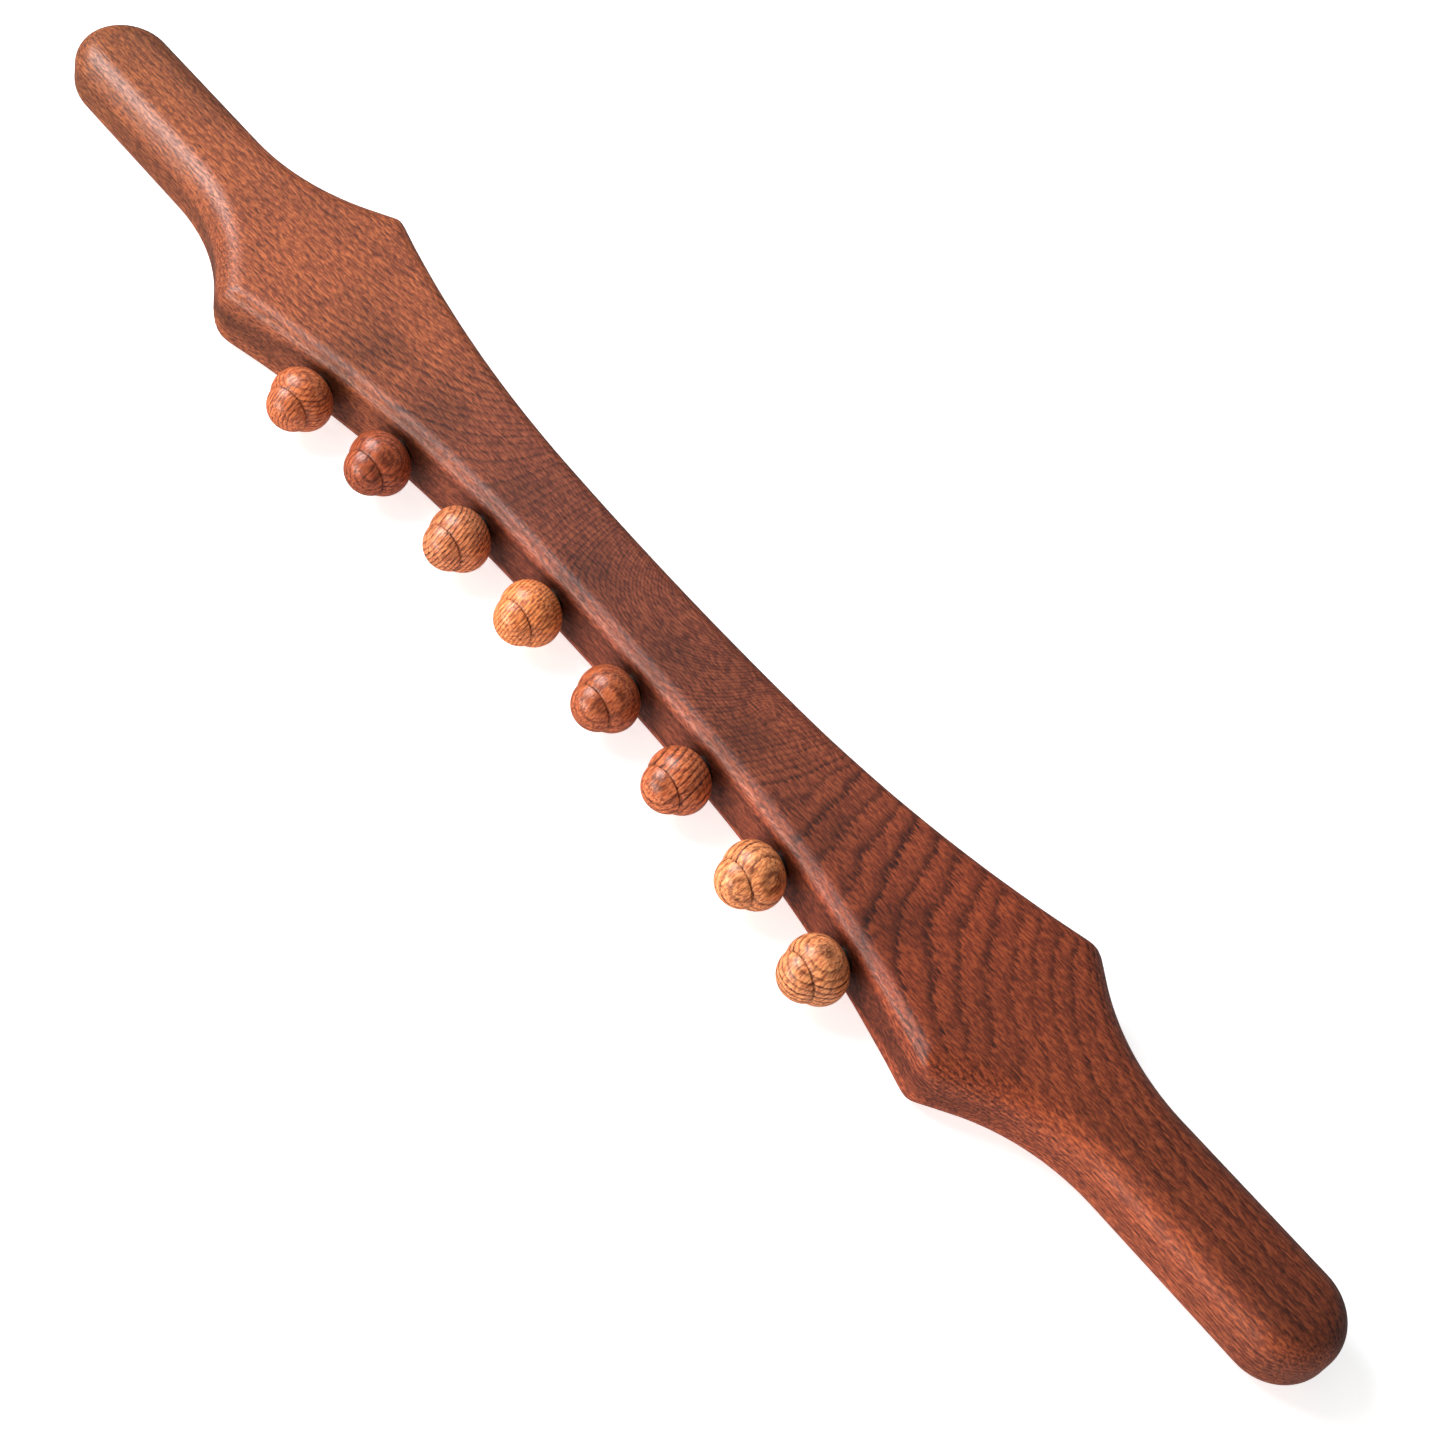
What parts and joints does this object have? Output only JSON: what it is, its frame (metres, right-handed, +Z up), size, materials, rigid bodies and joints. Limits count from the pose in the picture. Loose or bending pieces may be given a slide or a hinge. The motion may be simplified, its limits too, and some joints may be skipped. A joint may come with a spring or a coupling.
{
  "type": "wooden roller massager",
  "caption": "Carved wooden massage bar with two round-ended handles, a hollow waist and a row of small turned rollers that spin on pins square to one long edge.",
  "frame": {"origin": "centre of the board's flat back face, under the middle of the waist", "axes": "+X along the board from one handle tip to the other, +Y across it away from the rollers, +Z up through its thickness from the back face it rests on"},
  "size_m": [0.52, 0.0738, 0.022],
  "materials": {
    "board_wood": "satin",
    "roller_wood": "satin",
    "axle_steel": "satin",
    "bush_steel": "satin"
  },
  "bodies": {
    "board": {"bar": "board_wood", "bush_1": "bush_steel", "bush_2": "bush_steel", "bush_3": "bush_steel", "bush_4": "bush_steel", "bush_5": "bush_steel", "bush_6": "bush_steel", "bush_7": "bush_steel", "bush_8": "bush_steel"},
    "roller_1_body": {"roller_1": "roller_wood", "axle_1": "axle_steel", "retaining_ring_1": "axle_steel"},
    "roller_2_body": {"roller_2": "roller_wood", "axle_2": "axle_steel", "retaining_ring_2": "axle_steel"},
    "roller_3_body": {"roller_3": "roller_wood", "axle_3": "axle_steel", "retaining_ring_3": "axle_steel"},
    "roller_4_body": {"roller_4": "roller_wood", "axle_4": "axle_steel", "retaining_ring_4": "axle_steel"},
    "roller_5_body": {"roller_5": "roller_wood", "axle_5": "axle_steel", "retaining_ring_5": "axle_steel"},
    "roller_6_body": {"roller_6": "roller_wood", "axle_6": "axle_steel", "retaining_ring_6": "axle_steel"},
    "roller_7_body": {"roller_7": "roller_wood", "axle_7": "axle_steel", "retaining_ring_7": "axle_steel"},
    "roller_8_body": {"roller_8": "roller_wood", "axle_8": "axle_steel", "retaining_ring_8": "axle_steel"}
  },
  "joints": [
    {"name": "roller_1_spin", "type": "hinge", "parent": "board", "child": "roller_1_body", "pos_m": [-0.11125, -0.02371, 0.011], "axis": [0.2021, -0.9794, 0], "continuous": true},
    {"name": "roller_2_spin", "type": "hinge", "parent": "board", "child": "roller_2_body", "pos_m": [-0.08075, -0.01868, 0.011], "axis": [0.1233, -0.9924, 0], "continuous": true},
    {"name": "roller_3_spin", "type": "hinge", "parent": "board", "child": "roller_3_body", "pos_m": [-0.04725, -0.01598, 0.011], "axis": [0.0414, -0.9991, 0], "continuous": true},
    {"name": "roller_4_spin", "type": "hinge", "parent": "board", "child": "roller_4_body", "pos_m": [-0.01675, -0.01512, 0.011], "axis": [0.0147, -0.9999, 0], "continuous": true},
    {"name": "roller_5_spin", "type": "hinge", "parent": "board", "child": "roller_5_body", "pos_m": [0.01675, -0.01512, 0.011], "axis": [-0.0147, -0.9999, 0], "continuous": true},
    {"name": "roller_6_spin", "type": "hinge", "parent": "board", "child": "roller_6_body", "pos_m": [0.04725, -0.01598, 0.011], "axis": [-0.0414, -0.9991, 0], "continuous": true},
    {"name": "roller_7_spin", "type": "hinge", "parent": "board", "child": "roller_7_body", "pos_m": [0.08075, -0.01868, 0.011], "axis": [-0.1233, -0.9924, 0], "continuous": true},
    {"name": "roller_8_spin", "type": "hinge", "parent": "board", "child": "roller_8_body", "pos_m": [0.11125, -0.02371, 0.011], "axis": [-0.2021, -0.9794, 0], "continuous": true}
  ]
}
